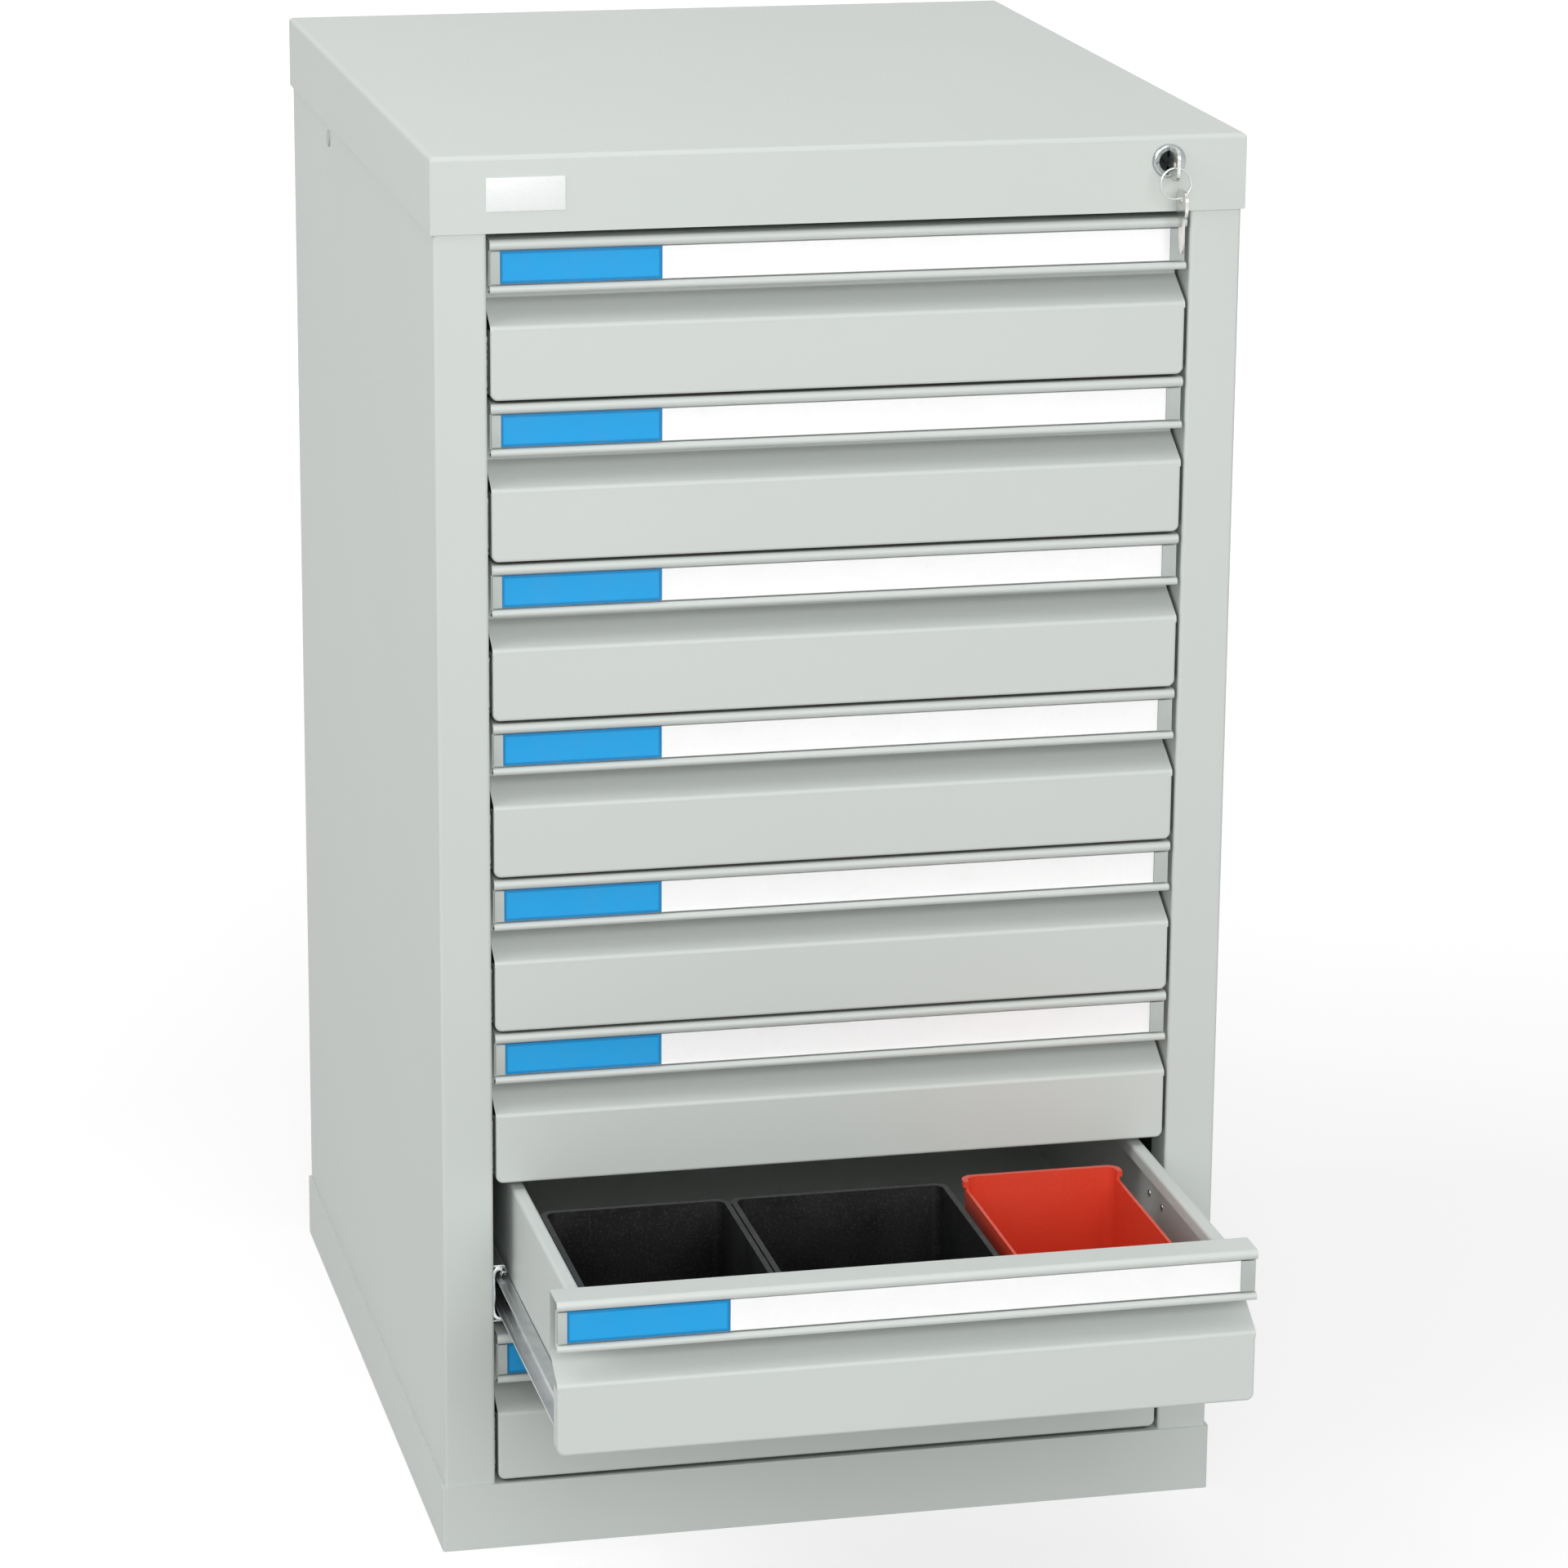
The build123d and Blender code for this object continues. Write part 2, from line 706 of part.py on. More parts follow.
def drawer_pieces():
    front = make_front()
    tray = make_tray()
    label = make_label()
    rail = make_drawer_rail()
    cage = make_ball_cage()
    pieces = {}
    for number in range(1, drawer_count + 1):
        pieces[f"drawer_{number}_front"] = in_drawer(number, front)
        pieces[f"drawer_{number}_tray"] = in_drawer(number, tray)
        pieces[f"drawer_{number}_label"] = in_drawer(number, label)
        pieces[f"drawer_{number}_rails"] = in_drawer(number, Compound([rail, mirrored(rail)]))
        half_way = Pos(0, front_plane - drawer_shift(number) / 2, drawer_bottom(number))
        pieces[f"slide_{number}_cages"] = half_way * Compound([cage, mirrored(cage)])
    return pieces


def bin_pieces():
    return {"black_bins": make_black_bins(), "red_bin": make_red_bin()}


os.makedirs("parts", exist_ok=True)
all_pieces = {**carcass_pieces(), **lock_pieces(), **drawer_pieces(), **bin_pieces()}
for name, piece in all_pieces.items():
    export_step(piece, f"parts/{name}.step")
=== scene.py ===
# %% [markdown]
# # A steel drawer cabinet, dressed for its picture
# The CAD model gives every sheet, slide and bin its exact shape, and it arrives here as a
# fixed frame. This script adds what CAD leaves out: a skin for the paint, the metal and the
# plastic, the print on the label strips and the covers over them, a bare plate, clips on the
# slides, rivets, a spare key on a ring, and soft light. Everything is in metres, in the frame
# of the cabinet: +Z is up and the drawers face -Y.

# %% Load the frame
import json
import math

import bmesh
import bpy
from mathutils import Matrix, Vector


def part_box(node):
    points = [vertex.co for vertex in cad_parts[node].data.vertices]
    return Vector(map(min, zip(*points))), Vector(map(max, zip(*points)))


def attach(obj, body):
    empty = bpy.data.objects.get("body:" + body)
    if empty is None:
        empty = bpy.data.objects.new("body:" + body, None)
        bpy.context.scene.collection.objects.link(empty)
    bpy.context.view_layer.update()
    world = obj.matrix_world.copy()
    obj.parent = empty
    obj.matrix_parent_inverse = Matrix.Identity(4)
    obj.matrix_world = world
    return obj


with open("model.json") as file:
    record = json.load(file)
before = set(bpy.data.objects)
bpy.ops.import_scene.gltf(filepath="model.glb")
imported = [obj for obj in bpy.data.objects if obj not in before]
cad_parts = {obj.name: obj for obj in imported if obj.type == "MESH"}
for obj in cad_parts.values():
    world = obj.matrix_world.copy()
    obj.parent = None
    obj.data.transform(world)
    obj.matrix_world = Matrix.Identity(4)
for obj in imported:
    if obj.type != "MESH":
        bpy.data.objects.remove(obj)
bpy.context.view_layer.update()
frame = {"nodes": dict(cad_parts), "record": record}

# %% [markdown]
# ## Camera
# The picture is taken from the left of the cabinet and a little above its top, from about
# three and a half metres, with a long lens. A long lens keeps the eight fronts nearly
# parallel. The camera could be turned by three angles about fixed axes, but here its matrix
# is built from three directions, forward, right and up, because those are easier to check
# against a measured view.

# %% Set the camera
PICTURE_SIZE = 1920
SENSOR_WIDTH = 36.0
FOCAL_PIXELS = 6831.4
CAMERA_PLACE = Vector((-0.78464, -3.54394, 1.44590))
YAW, PITCH, ROLL = 0.2270, 0.2776, 0.0076

forward = Vector((
    math.sin(YAW) * math.cos(PITCH),
    math.cos(YAW) * math.cos(PITCH),
    -math.sin(PITCH),
))
level_right = Vector((math.cos(YAW), -math.sin(YAW), 0.0))
level_up = level_right.cross(forward)
right = level_right * math.cos(ROLL) + level_up * math.sin(ROLL)
up = level_up * math.cos(ROLL) - level_right * math.sin(ROLL)
view_turn = Matrix((right, up, -forward)).transposed().to_4x4()

lens = bpy.data.cameras.new("cabinet_view")
lens.sensor_width = SENSOR_WIDTH
lens.lens = FOCAL_PIXELS * SENSOR_WIDTH / PICTURE_SIZE
camera = bpy.data.objects.new("cabinet_view", lens)
camera.matrix_world = Matrix.Translation(CAMERA_PLACE) @ view_turn
bpy.context.scene.collection.objects.link(camera)
bpy.context.scene.camera = camera
print("lens", round(lens.lens, 1), "mm")

# %% [markdown]
# ## Helpers for shader nodes
# A material is a small graph. Adding a node, setting its values and joining it to others
# takes three or four lines each time, so one helper does all of it: a socket given as an
# input is linked, and any other value is typed into the socket.

# %% Node helper
def add_node(tree, kind, inputs=None, **settings):
    """A new node; its settings come first, because they decide which sockets it has."""
    made = tree.nodes.new(kind)
    for name, value in settings.items():
        setattr(made, name, value)
    for name, value in (inputs or {}).items():
        if isinstance(value, bpy.types.NodeSocket):
            tree.links.new(value, made.inputs[name])
        else:
            made.inputs[name].default_value = value
    return made


def empty_tree(owner):
    """The node tree of a material or a world, with nothing in it yet."""
    owner.use_nodes = True
    owner.node_tree.nodes.clear()
    return owner.node_tree


print("Blender", bpy.app.version_string)

# %% [markdown]
# Four kinds of node turn up in nearly every finish: sums, a value spread over a new range, a
# mix of two colours, and cloudy noise. Each gets a short name of its own, which gives back
# the one socket that matters, so that a finish reads like a recipe.

# %% Sums, ranges, mixes and noise
MIX_SHARE, MIX_FIRST, MIX_SECOND, MIX_COLOUR = 0, 6, 7, 2


def work_out(tree, operation, *values):
    return add_node(tree, "ShaderNodeMath", dict(enumerate(values)), operation=operation).outputs[0]


def spread(tree, value, old_range=(0.0, 1.0), new_range=(0.0, 1.0), **settings):
    inputs = {
        "Value": value, "From Min": old_range[0], "From Max": old_range[1],
        "To Min": new_range[0], "To Max": new_range[1],
    }
    return add_node(tree, "ShaderNodeMapRange", inputs, **settings).outputs[0]


def mix(tree, share, first, second, blend_type="MIX"):
    inputs = {MIX_SHARE: share, MIX_FIRST: first, MIX_SECOND: second}
    made = add_node(tree, "ShaderNodeMix", inputs, data_type="RGBA", blend_type=blend_type)
    return made.outputs[MIX_COLOUR]


def cloudy(tree, place, scale, detail, roughness=0.5):
    inputs = {"Vector": place, "Scale": scale, "Detail": detail, "Roughness": roughness}
    return add_node(tree, "ShaderNodeTexNoise", inputs).outputs["Fac"]


def object_place(tree):
    return add_node(tree, "ShaderNodeTexCoord").outputs["Object"]


# %% [markdown]
# ## Colours
# A colour picked from a screen runs from 0 to 255 and is packed for the eye, with more steps
# in the darks. Shaders add up light, so each channel is unpacked with the standard curve
# before it goes into a socket.

# %% Colour helper
CURVE_START, CURVE_FOOT = 0.04045, 12.92
CURVE_OFFSET, CURVE_POWER = 0.055, 2.4
WHITE = (1.0, 1.0, 1.0, 1.0)


def colour(red, green, blue):
    linear = []
    for value in (red, green, blue):
        share = value / 255
        curve = ((share + CURVE_OFFSET) / (1 + CURVE_OFFSET)) ** CURVE_POWER
        linear.append(share / CURVE_FOOT if share <= CURVE_START else curve)
    return (*linear, 1.0)


print("middle grey", [round(v, 3) for v in colour(128, 128, 128)])

# %% [markdown]
# ## Floor
# The cabinet stands on a plain studio floor, much larger than the picture, so that its edge
# never shows. It isn't part of the object.

# %% Lay the floor
FLOOR_HALF = 9.0

floor_mesh = bpy.data.meshes.new("studio_floor")
bm = bmesh.new()
bmesh.ops.create_grid(bm, x_segments=4, y_segments=4, size=FLOOR_HALF)
bm.to_mesh(floor_mesh)
bm.free()
studio_floor = bpy.data.objects.new("studio_floor", floor_mesh)
bpy.context.scene.collection.objects.link(studio_floor)
print("floor", 2 * FLOOR_HALF, "m wide")

# %% [markdown]
# The floor should look white. A white paper floor would throw a lot of light back up at the
# cabinet and flatten it, so the paper is light grey, and a glow that only the camera and
# reflections see lifts it. The glow is weaker near the cabinet, where the soft shadow has to
# stay, and grows with the distance until the floor meets the white world behind it.

# %% Finish the floor
FLOOR_SHADE = (0.45, 0.45, 0.45, 1.0)
NEAR_LIFT, FAR_LIFT = 0.62, 0.88
NEAR_EDGE, FAR_EDGE = 0.7, 3.2


def seen_directly(tree):
    """1 for rays from the camera, from gloss and through clear plastic, 0 for stray light."""
    rays = add_node(tree, "ShaderNodeLightPath").outputs
    seen = work_out(tree, "MAXIMUM", rays["Is Camera Ray"], rays["Is Glossy Ray"])
    return work_out(tree, "MAXIMUM", seen, rays["Is Transmission Ray"])


floor_finish = bpy.data.materials.new("studio_floor")
tree = empty_tree(floor_finish)
seen = seen_directly(tree)
away = add_node(tree, "ShaderNodeVectorMath", {0: object_place(tree)}, operation="LENGTH")
extra = spread(tree, away.outputs["Value"], (NEAR_EDGE, FAR_EDGE), (NEAR_LIFT, FAR_LIFT))
lift = work_out(tree, "MULTIPLY", seen, extra)
matte = add_node(tree, "ShaderNodeBsdfDiffuse", {"Color": FLOOR_SHADE})
glow = add_node(tree, "ShaderNodeEmission", {"Color": WHITE, "Strength": lift})
both = add_node(tree, "ShaderNodeAddShader", {0: matte.outputs[0], 1: glow.outputs[0]})
add_node(tree, "ShaderNodeOutputMaterial", {"Surface": both.outputs[0]})
studio_floor.data.materials.append(floor_finish)
print("floor finish has", len(tree.nodes), "nodes")

# %% [markdown]
# ## World
# A studio has pale walls all round, and their light fills the shadows. One world does this:
# the camera and reflections see it white, and as a source of light it is only half as strong,
# so that the lamps still give the cabinet its shape.

# %% Fill the world
WORLD_FILL = 0.47

world = bpy.data.worlds.new("studio")
tree = empty_tree(world)
strength = spread(tree, seen_directly(tree), new_range=(WORLD_FILL, 1.0))
sky = add_node(tree, "ShaderNodeBackground", {"Color": WHITE, "Strength": strength})
add_node(tree, "ShaderNodeOutputWorld", {"Surface": sky.outputs[0]})
bpy.context.scene.world = world
print("world fill", WORLD_FILL)

# %% [markdown]
# ## Lamps
# Paint shows its shape only in soft light, so the lamps are large square panels. The one in
# front stands low, about twenty degrees up, because a higher lamp would leave the slopes
# under the label windows in the shadow of their lips. The other two are weaker and light the
# top and the left side. A lamp's power in watts says little about how bright a thing becomes,
# so the helper takes the brightness of a white card at the target and works the power out.

# %% Light the stage
FRONT_MIDDLE = (0.0, -0.3, 0.50)
TOP_MIDDLE = (0.0, 0.0, 0.90)
SIDE_MIDDLE = (-0.25, 0.0, 0.70)


def soft_panel(name, place, target, size, share):
    """A square lamp that gives a white card at the target that share of full brightness."""
    aim = Vector(target) - Vector(place)
    lamp = bpy.data.lights.new(name, "AREA")
    lamp.shape = "SQUARE"
    lamp.size = size
    lamp.energy = share * (math.pi * aim.length) ** 2
    panel = bpy.data.objects.new(name, lamp)
    facing = aim.to_track_quat("-Z", "Y").to_matrix().to_4x4()
    panel.matrix_world = Matrix.Translation(place) @ facing
    bpy.context.scene.collection.objects.link(panel)
    print(name, round(lamp.energy, 1), "W")


soft_panel("front_panel", place=(-0.1, -3.9, 1.65), target=FRONT_MIDDLE, size=2.2, share=0.585)
soft_panel("top_panel", place=(-0.3, -0.4, 3.6), target=TOP_MIDDLE, size=2.4, share=0.19)
soft_panel("left_panel", place=(-2.8, -0.4, 2.9), target=SIDE_MIDDLE, size=2.2, share=0.43)

bpy.context.scene.view_settings.view_transform = "Standard"

# %% [markdown]
# ## A helper for surface groups
# Paint, metal, plastic, print and cover each get one node group. A group is a part of a
# graph with a name and its own sockets, built once and placed in every material that needs
# it, with other colours and sizes. All of them give back a colour, a roughness and a height.

# %% Group helper
COLOUR, NUMBER = "NodeSocketColor", "NodeSocketFloat"
SURFACE = [("Colour", COLOUR), ("Roughness", NUMBER), ("Height", NUMBER)]


def new_group(name, inputs, outputs=SURFACE):
    """An empty group with named sockets, and the sockets that its inputs arrive on."""
    group = bpy.data.node_groups.new(name, "ShaderNodeTree")
    for label, kind, value in inputs:
        socket = group.interface.new_socket(name=label, in_out="INPUT", socket_type=kind)
        socket.default_value = value
    for label, kind in outputs:
        group.interface.new_socket(name=label, in_out="OUTPUT", socket_type=kind)
    return group, add_node(group, "NodeGroupInput").outputs


print("a group gives", [label for label, kind in SURFACE])

# %% [markdown]
# ## Powder coat
# The cabinet is sprayed with dry powder and baked. Close up the skin is a fine orange peel:
# low soft hills about a millimetre across with a finer grain in them. The skin could be a
# picture wrapped over each panel, but a pattern worked out from the place on the object
# needs no wrapping and never stretches. One node group holds it, so the carcass, the fronts
# and the trays share the skin and differ only in colour and gloss. Noise mostly stays between
# 0.3 and 0.7, so that range is spread out to give the full contrast. The group also paints
# shade into the colour: a point that sees little open space close by, deep in a narrow gap
# or a tight corner, is darkened.

# %% Powder coat group
CLOUD_SCALE, PEEL_SCALE, GRAIN_SCALE = 5.0, 620.0, 2600.0
CLOUD_SHARE, GRAIN_SHARE = 0.6, 0.4
PEEL_SOFTNESS = 0.45
GRAIN_ON_HILLS = 0.25
NOISE_RANGE = (0.3, 0.7)
CREVICE_REACH = 0.0045
CREVICE_OPENNESS = (0.1, 0.38)
CREVICE_SHADES = (0.06, 1.0)

powder_skin, given = new_group("powder_skin", [
    ("Paint", COLOUR, (0.6, 0.6, 0.6, 1.0)),
    ("Dip", COLOUR, (0.5, 0.5, 0.5, 1.0)),
    ("Gloss Low", NUMBER, 0.36),
    ("Gloss High", NUMBER, 0.5),
])
place = object_place(powder_skin)
broad = cloudy(powder_skin, place, CLOUD_SCALE, 2.0)
peel = cloudy(powder_skin, place, PEEL_SCALE, 2.0, PEEL_SOFTNESS)
grain = cloudy(powder_skin, place, GRAIN_SCALE, 1.0)
cloud = work_out(powder_skin, "MULTIPLY", broad, CLOUD_SHARE)
speck = work_out(powder_skin, "MULTIPLY", grain, GRAIN_SHARE)
mottle = spread(powder_skin, work_out(powder_skin, "ADD", cloud, speck), NOISE_RANGE)
tint = mix(powder_skin, mottle, given["Paint"], given["Dip"])
sheen = spread(powder_skin, peel, NOISE_RANGE, (given["Gloss Low"], given["Gloss High"]))
hills = work_out(powder_skin, "MULTIPLY_ADD", grain, GRAIN_ON_HILLS, peel)
# Painted shade: the colour darkens where little open space is near, in gaps and tight corners.
open_sky = add_node(powder_skin, "ShaderNodeAmbientOcclusion", {"Distance": CREVICE_REACH}, samples=8)
painted_gap_shade = spread(
    powder_skin, open_sky.outputs["AO"], CREVICE_OPENNESS, CREVICE_SHADES,
    interpolation_type="SMOOTHSTEP",
)
shaded = mix(powder_skin, 1.0, tint, painted_gap_shade, "MULTIPLY")
add_node(powder_skin, "NodeGroupOutput", {"Colour": shaded, "Roughness": sheen, "Height": hills})
print("powder skin has", len(powder_skin.nodes), "nodes")

# %% [markdown]
# ## Coated finishes
# A finish is one group for the surface, one shader, and a bump made from the group's height.
# The bump could be real hills in the mesh, but they are a tenth of a millimetre high, and
# millions of faces would show no more. Three coats differ a little: the fronts are the
# smoothest, and the trays the dullest, because their paint is thinner.

# %% Coated finishes
PEEL_BUMP = (0.0001, 0.35)


def new_finish(name, skin, values, shader, bump):
    """A material; the bump is the height of its hills in metres and its strength."""
    finish = bpy.data.materials.new(name)
    tree = empty_tree(finish)
    surface = add_node(tree, "ShaderNodeGroup", values, node_tree=skin).outputs
    relief = add_node(tree, "ShaderNodeBump", {
        "Height": surface["Height"], "Distance": bump[0], "Strength": bump[1],
    })
    body = add_node(tree, "ShaderNodeBsdfPrincipled", {
        "Base Color": surface["Colour"],
        "Roughness": surface["Roughness"],
        "Normal": relief.outputs[0],
        **shader,
    })
    if "Alpha" in surface:
        tree.links.new(surface["Alpha"], body.inputs["Alpha"])
    add_node(tree, "ShaderNodeOutputMaterial", {"Surface": body.outputs[0]})
    return finish


def coat(name, paint, dip, low, high):
    values = {"Paint": colour(*paint), "Dip": colour(*dip), "Gloss Low": low, "Gloss High": high}
    return new_finish(name, powder_skin, values, {"Specular IOR Level": 0.4}, PEEL_BUMP)


finishes = {
    "cabinet_paint": coat("cabinet_paint", (205, 210, 206), (202, 207, 203), 0.38, 0.52),
    "front_paint": coat("front_paint", (205, 210, 206), (202, 207, 203), 0.36, 0.50),
    "tray_paint": coat("tray_paint", (206, 211, 208), (202, 207, 204), 0.42, 0.56),
}
print("coats", list(finishes))

# %% [markdown]
# ## Bare metal
# The slides are zinc plated strip, drawn through rollers, so fine lines run along them, and
# the zinc has cloudy patches. Bare metal has no colour of its own beyond its reflections, so
# the group varies mostly the roughness: a stretched noise, long along the piece and fine
# across it, makes the drawn lines, and a broad one makes the patches.

# %% Drawn metal group
PATCH_SCALE = 45.0
PATCH_RANGE = (0.42, 0.68)
PATCH_SHARE = 0.35
LINES_RANGE = (0.5, 0.85)

drawn_metal, given = new_group("drawn_metal", [
    ("Metal", COLOUR, (0.6, 0.6, 0.6, 1.0)),
    ("Stain", COLOUR, (0.5, 0.5, 0.5, 1.0)),
    ("Across", NUMBER, 900.0),
    ("Along", NUMBER, 12.0),
    ("Smooth", NUMBER, 0.2),
    ("Rough", NUMBER, 0.4),
])
place = object_place(drawn_metal)
stretch = add_node(drawn_metal, "ShaderNodeCombineXYZ", {
    0: given["Across"], 1: given["Along"], 2: given["Across"],
})
lined = add_node(
    drawn_metal, "ShaderNodeVectorMath", {0: place, 1: stretch.outputs[0]}, operation="MULTIPLY",
)
lines = cloudy(drawn_metal, lined.outputs[0], 1.0, 3.0)
bloom = cloudy(drawn_metal, place, PATCH_SCALE, 4.0)
patches = spread(drawn_metal, bloom, PATCH_RANGE)
tint = mix(drawn_metal, patches, given["Metal"], given["Stain"])
mixed = work_out(drawn_metal, "MULTIPLY_ADD", bloom, PATCH_SHARE, lines)
sheen = spread(drawn_metal, mixed, LINES_RANGE, (given["Smooth"], given["Rough"]))
add_node(drawn_metal, "NodeGroupOutput", {"Colour": tint, "Roughness": sheen, "Height": lines})
print("drawn metal has", len(drawn_metal.nodes), "nodes")

# %% [markdown]
# The rails, the lock and the key take this group with their own values. The lock's head is
# polished chrome, its plug is darkened, and the key is stamped sheet, ground along its blade.

# %% Metal finishes
METAL_BUMP_STRENGTH = 0.3


def bare_metal(name, metal, stain, across, along, smooth, rough, bump):
    values = {
        "Metal": colour(*metal), "Stain": colour(*stain), "Across": across, "Along": along,
        "Smooth": smooth, "Rough": rough,
    }
    return new_finish(name, drawn_metal, values, {"Metallic": 1.0}, (bump, METAL_BUMP_STRENGTH))


# Metal, stain, lines across, lines along, smoothest, roughest, depth of the lines
METALS = {
    "zinc_steel": ((214, 216, 217), (192, 196, 199), 1500.0, 9.0, 0.34, 0.52, 0.00004),
    "lock_chrome": ((176, 181, 182), (140, 146, 148), 700.0, 700.0, 0.06, 0.16, 0.00001),
    "darkened_plug": ((46, 51, 50), (26, 30, 30), 500.0, 900.0, 0.12, 0.3, 0.00002),
    "key_steel": ((212, 211, 207), (190, 189, 186), 260.0, 1500.0, 0.16, 0.32, 0.00002),
}
for name, values in METALS.items():
    finishes[name] = bare_metal(name, *values)
print("metals", list(METALS))

# %% [markdown]
# ## Moulded plastic
# The bins, hole plugs and bar guides are moulded. A mould leaves a fine even grain, and the
# skin is a little glossier where it was pressed hardest. Cells of a Voronoi pattern make the
# grain, because they have the even size that noise lacks.

# %% Moulded plastic group
FLOW_SCALE, DUST_SCALE = 22.0, 700.0
DUST_RANGE = (0.52, 0.72)

moulded_skin, given = new_group("moulded_skin", [
    ("Plastic", COLOUR, (0.1, 0.1, 0.1, 1.0)),
    ("Speck", COLOUR, (0.2, 0.2, 0.2, 1.0)),
    ("Specks", NUMBER, 0.2),
    ("Grain", NUMBER, 1400.0),
    ("Smooth", NUMBER, 0.3),
    ("Rough", NUMBER, 0.5),
])
place = object_place(moulded_skin)
pits = add_node(moulded_skin, "ShaderNodeTexVoronoi", {"Vector": place, "Scale": given["Grain"]})
flow = cloudy(moulded_skin, place, FLOW_SCALE, 3.0)
dust = cloudy(moulded_skin, place, DUST_SCALE, 2.0)
spots = spread(moulded_skin, dust, DUST_RANGE, (0.0, given["Specks"]))
tint = mix(moulded_skin, spots, given["Plastic"], given["Speck"])
sheen = spread(moulded_skin, flow, NOISE_RANGE, (given["Smooth"], given["Rough"]))
add_node(moulded_skin, "NodeGroupOutput", {
    "Colour": tint, "Roughness": sheen, "Height": pits.outputs["Distance"],
})
print("moulded skin has", len(moulded_skin.nodes), "nodes")

# %% [markdown]
# The red bin is smoother than the black ones, which are coarse recycled plastic with grey
# specks. The plugs match the paint, and the guides are the milky nylon of machine parts.

# %% Plastic finishes
PLASTIC_BUMP_STRENGTH = 0.4
SPECKS = 0.5


def plastic(name, base, speck, grain, smooth, rough, bump):
    values = {
        "Plastic": colour(*base), "Speck": colour(*speck), "Specks": SPECKS, "Grain": grain,
        "Smooth": smooth, "Rough": rough,
    }
    return new_finish(name, moulded_skin, values, {}, (bump, PLASTIC_BUMP_STRENGTH))


# Plastic, speck, grain scale, smoothest, roughest, depth of the grain
PLASTICS = {
    "black_plastic": ((8, 8, 9), (54, 56, 57), 900.0, 0.36, 0.50, 0.00008),
    "red_plastic": ((214, 66, 44), (222, 80, 54), 1200.0, 0.26, 0.38, 0.00003),
    "grey_plastic": ((176, 182, 178), (160, 166, 163), 1500.0, 0.4, 0.5, 0.00003),
    "guide_nylon": ((226, 226, 219), (212, 212, 204), 1500.0, 0.38, 0.5, 0.00003),
}
for name, values in PLASTICS.items():
    finishes[name] = plastic(name, *values)
print("plastics", list(PLASTICS))

# %% [markdown]
# ## Where the print lies
# Each front carries a paper strip with a blue field on the left for the drawer's number and
# a white field for its contents, both left blank. Eight prints could be eight materials, but
# the strips all sit at the same place in their drawer, one drawer pitch apart. So one print
# serves all of them: it is worked out from the distance across and from the height within
# one pitch, counted from a little under the lowest strip.

# %% Measure the strips
DRAWER_COUNT = 8
DRAWERS = range(1, DRAWER_COUNT + 1)
BLUE_WIDTH = 0.0993
BELOW_STRIP = 0.01

first_low, first_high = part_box("drawer_1_label")
last_low, last_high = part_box(f"drawer_{DRAWER_COUNT}_label")
DRAWER_PITCH = (first_low.z - last_low.z) / (DRAWER_COUNT - 1)
BLUE_END = first_low.x + BLUE_WIDTH
print("pitch", round(DRAWER_PITCH, 4), "blue ends at", round(BLUE_END, 4))


def inside_band(tree, value, low, high):
    """How far a value lies inside a band, negative outside."""
    above = work_out(tree, "SUBTRACT", value, low)
    below = work_out(tree, "SUBTRACT", high, value)
    return work_out(tree, "MINIMUM", above, below)


# %% [markdown]
# ## Printed label strips
# The blue field is printed, and a slightly darker rim runs along its edges. The distance to
# the nearest edge of the field says where the rim is, and the paper's fibres make the white a
# little uneven.

# %% Label print
RIM, RIM_BLUR = 0.0017, 0.0004
EDGE_SLACK = 0.0001
FIBRE_SCALE = 380.0
FIBRE_SHADES = (0.97, 1.0)
PAPER_ROUGHNESS = (0.5, 0.7)
PAPER_BUMP = (0.00003, 0.2)

label_print, given = new_group("label_print", [
    ("Field", COLOUR, (0.1, 0.4, 0.8, 1.0)),
    ("Rim", COLOUR, (0.05, 0.3, 0.7, 1.0)),
    ("Card", COLOUR, (0.9, 0.9, 0.9, 1.0)),
])
place = object_place(label_print)
axes = add_node(label_print, "ShaderNodeSeparateXYZ", {0: place}).outputs
lifted = work_out(label_print, "SUBTRACT", axes["Z"], last_low.z - BELOW_STRIP)
height = work_out(label_print, "FLOORED_MODULO", lifted, DRAWER_PITCH)
strip_top = BELOW_STRIP + last_high.z - last_low.z
across = inside_band(label_print, axes["X"], first_low.x, BLUE_END)
upright = inside_band(label_print, height, BELOW_STRIP, strip_top)
inside = work_out(label_print, "MINIMUM", across, upright)
core = spread(label_print, inside, (RIM - RIM_BLUR, RIM + RIM_BLUR))
left_part = work_out(label_print, "LESS_THAN", axes["X"], BLUE_END + EDGE_SLACK)
fibre = cloudy(label_print, place, FIBRE_SCALE, 3.0)
blue_with_rim = mix(label_print, core, given["Rim"], given["Field"])
printed = mix(label_print, left_part, given["Card"], blue_with_rim)
mottled = spread(label_print, fibre, NOISE_RANGE, FIBRE_SHADES)
shade = mix(label_print, 1.0, printed, mottled, "MULTIPLY")
sheen = spread(label_print, fibre, new_range=PAPER_ROUGHNESS)
add_node(label_print, "NodeGroupOutput", {"Colour": shade, "Roughness": sheen, "Height": fibre})

label_colours = {"Field": colour(22, 162, 228), "Rim": colour(4, 132, 192), "Card": colour(255, 255, 255)}
paper = {"Specular IOR Level": 0.3}
finishes["label_card"] = new_finish("label_card", label_print, label_colours, paper, PAPER_BUMP)
print("label print has", len(label_print.nodes), "nodes")

# %% [markdown]
# ## Finishes go onto the CAD pieces
# The record says which finish each CAD piece takes, so one loop dresses all of them. Only
# the lock's plug differs: the record gives the whole lock its chrome, and here the plug in the
# middle takes a nearly black metal instead.

# %% Dress the CAD pieces
OWN_FINISH = {"lock_plug": "darkened_plug"}

for row in frame["record"]["subparts"]:
    mesh = frame["nodes"][row["node"]].data
    mesh.materials.clear()
    mesh.materials.append(finishes[OWN_FINISH.get(row["node"], row["material_slot"])])

